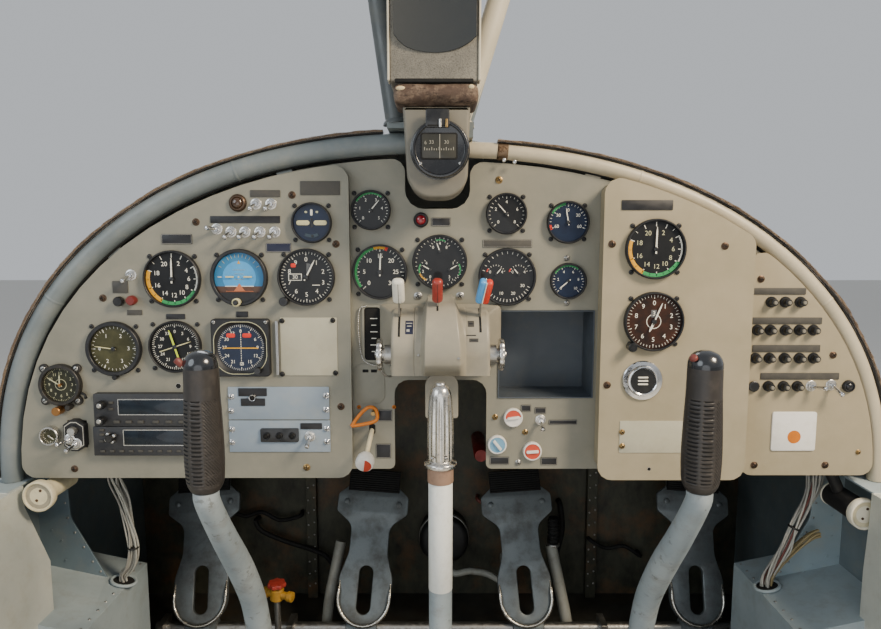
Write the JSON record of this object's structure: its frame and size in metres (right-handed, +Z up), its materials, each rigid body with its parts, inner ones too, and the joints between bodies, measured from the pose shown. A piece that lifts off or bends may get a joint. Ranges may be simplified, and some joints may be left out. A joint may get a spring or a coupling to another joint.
{
  "type": "aircraft cockpit front section",
  "caption": "Front cockpit section of a light aircraft: arched instrument panel, centre post with compass, engine levers, control sticks, rudder pedals and flap lever.",
  "frame": {"origin": "on the floor's underside, straight below the centre panel's aft face, midway between the side walls", "axes": "+X to the pilots' right, +Y forward, +Z up"},
  "size_m": [1.314, 0.839, 1.195],
  "materials": {
    "tub_paint": "satin blue-grey paint",
    "firewall_sheet": "stained olive primer",
    "tube_paint": "satin pale blue-grey paint",
    "panel_paint": "matt warm grey paint",
    "felt": "frayed brown woven strip",
    "crinkle_paint": "grey crinkle paint",
    "pad_leather": "worn brown leather",
    "instrument_black": "black instrument paint",
    "cast_aluminium": "sand cast, worn",
    "stick_grip": "ribbed black plastic",
    "steel": "dull steel",
    "chrome": "worn chrome",
    "vent_plastic": "cream plastic",
    "wiring": "grey sleeved bundle",
    "lever_white": "white plastic",
    "lever_red": "red plastic",
    "lever_blue": "blue plastic"
  },
  "bodies": {
    "cockpit": {"arch_bow_left": "tube_paint", "arch_bow_right": "tube_paint", "compass": "instrument_black", "compass_housing": "crinkle_paint", "control_bearer": "steel", "dial_airspeed_left": "instrument_black", "dial_airspeed_right": "instrument_black", "dial_altimeter_left": "instrument_black", "dial_altimeter_right": "instrument_black", "dial_attitude": "instrument_black", "dial_charge": "instrument_black", "dial_climb": "instrument_black", "dial_clock": "instrument_black", "dial_course": "instrument_black", "dial_direction": "instrument_black", "dial_engine_group": "instrument_black", "dial_engine_speed": "instrument_black", "dial_fuel": "instrument_black", "dial_oil": "instrument_black", "dial_pressure": "instrument_black", "dial_temperature": "instrument_black", "dial_turn": "instrument_black", "dial_vacuum": "instrument_black", "firewall": "firewall_sheet", "floor_pan": "tub_paint", "harness_left": "wiring", "harness_right": "wiring", "ignition_unit": "instrument_black", "nose_deck": "tub_paint", "panel_breakers": "panel_paint", "panel_centre": "panel_paint", "panel_left": "panel_paint", "panel_right": "panel_paint", "pedal_shaft": "steel", "pocket_box": "tub_paint", "post_box": "crinkle_paint", "post_pad": "pad_leather", "quadrant_housing": "cast_aluminium", "radio_stack": "instrument_black", "side_wall_left": "tub_paint", "side_wall_right": "tub_paint", "vent_left": "vent_plastic", "vent_right": "vent_plastic", "windscreen_post": "tube_paint", "windscreen_seal_left": "felt", "windscreen_seal_right": "felt"},
    "torque_tube": {"torque_tube": "steel"},
    "stick_left": {"stick_left": "tube_paint", "grip_left": "stick_grip"},
    "stick_right": {"stick_right": "tube_paint", "grip_right": "stick_grip"},
    "flap_lever": {"flap_lever": "steel", "flap_grip": "chrome"},
    "pedal_left_left": {"pedal_left_left": "cast_aluminium"},
    "pedal_left_right": {"pedal_left_right": "cast_aluminium"},
    "pedal_right_left": {"pedal_right_left": "cast_aluminium"},
    "pedal_right_right": {"pedal_right_right": "cast_aluminium"},
    "lever_left": {"lever_left": "lever_white"},
    "lever_middle": {"lever_middle": "lever_red"},
    "lever_right": {"lever_right": "lever_blue"}
  },
  "joints": [
    {"name": "stick_pitch", "type": "hinge", "parent": "cockpit", "child": "torque_tube", "pos_m": [0, 0, 0.078], "axis": [1, 0, 0], "range_deg": [-12, 16]},
    {"name": "stick_roll_left", "type": "hinge", "parent": "torque_tube", "child": "stick_left", "pos_m": [-0.247, 0, 0.118], "axis": [0, 1, 0], "range_deg": [-15, 15]},
    {"name": "stick_roll_right", "type": "hinge", "parent": "torque_tube", "child": "stick_right", "pos_m": [0.273, 0, 0.118], "axis": [0, 1, 0], "range_deg": [-15, 15]},
    {"name": "pedal_left_left_hinge", "type": "hinge", "parent": "cockpit", "child": "pedal_left_left", "pos_m": [-0.457, 0.252, 0.058], "axis": [1, 0, 0], "range_deg": [-12, 12]},
    {"name": "pedal_left_right_hinge", "type": "hinge", "parent": "cockpit", "child": "pedal_left_right", "pos_m": [-0.151, 0.252, 0.058], "axis": [1, 0, 0], "range_deg": [-12, 12]},
    {"name": "pedal_right_left_hinge", "type": "hinge", "parent": "cockpit", "child": "pedal_right_left", "pos_m": [0.168, 0.252, 0.058], "axis": [1, 0, 0], "range_deg": [-12, 12]},
    {"name": "pedal_right_right_hinge", "type": "hinge", "parent": "cockpit", "child": "pedal_right_right", "pos_m": [0.489, 0.252, 0.058], "axis": [1, 0, 0], "range_deg": [-12, 12]},
    {"name": "flap_lever_hinge", "type": "hinge", "parent": "cockpit", "child": "flap_lever", "pos_m": [0, -0.145, 0.1], "axis": [1, 0, 0], "range_deg": [0, 50]},
    {"name": "lever_left_hinge", "type": "hinge", "parent": "cockpit", "child": "lever_left", "pos_m": [-0.055, -0.034, 0.655], "axis": [1, 0, 0], "range_deg": [-30, 25]},
    {"name": "lever_middle_hinge", "type": "hinge", "parent": "cockpit", "child": "lever_middle", "pos_m": [-0.004, -0.034, 0.655], "axis": [1, 0, 0], "range_deg": [-30, 25]},
    {"name": "lever_right_hinge", "type": "hinge", "parent": "cockpit", "child": "lever_right", "pos_m": [0.053, -0.034, 0.655], "axis": [1, 0, 0], "range_deg": [-30, 25]}
  ],
  "couplings": [
    {"joint": "stick_roll_right", "follows": "stick_roll_left", "ratio": 1},
    {"joint": "pedal_left_right_hinge", "follows": "pedal_left_left_hinge", "ratio": -1},
    {"joint": "pedal_right_left_hinge", "follows": "pedal_left_left_hinge", "ratio": 1},
    {"joint": "pedal_right_right_hinge", "follows": "pedal_left_left_hinge", "ratio": -1}
  ]
}
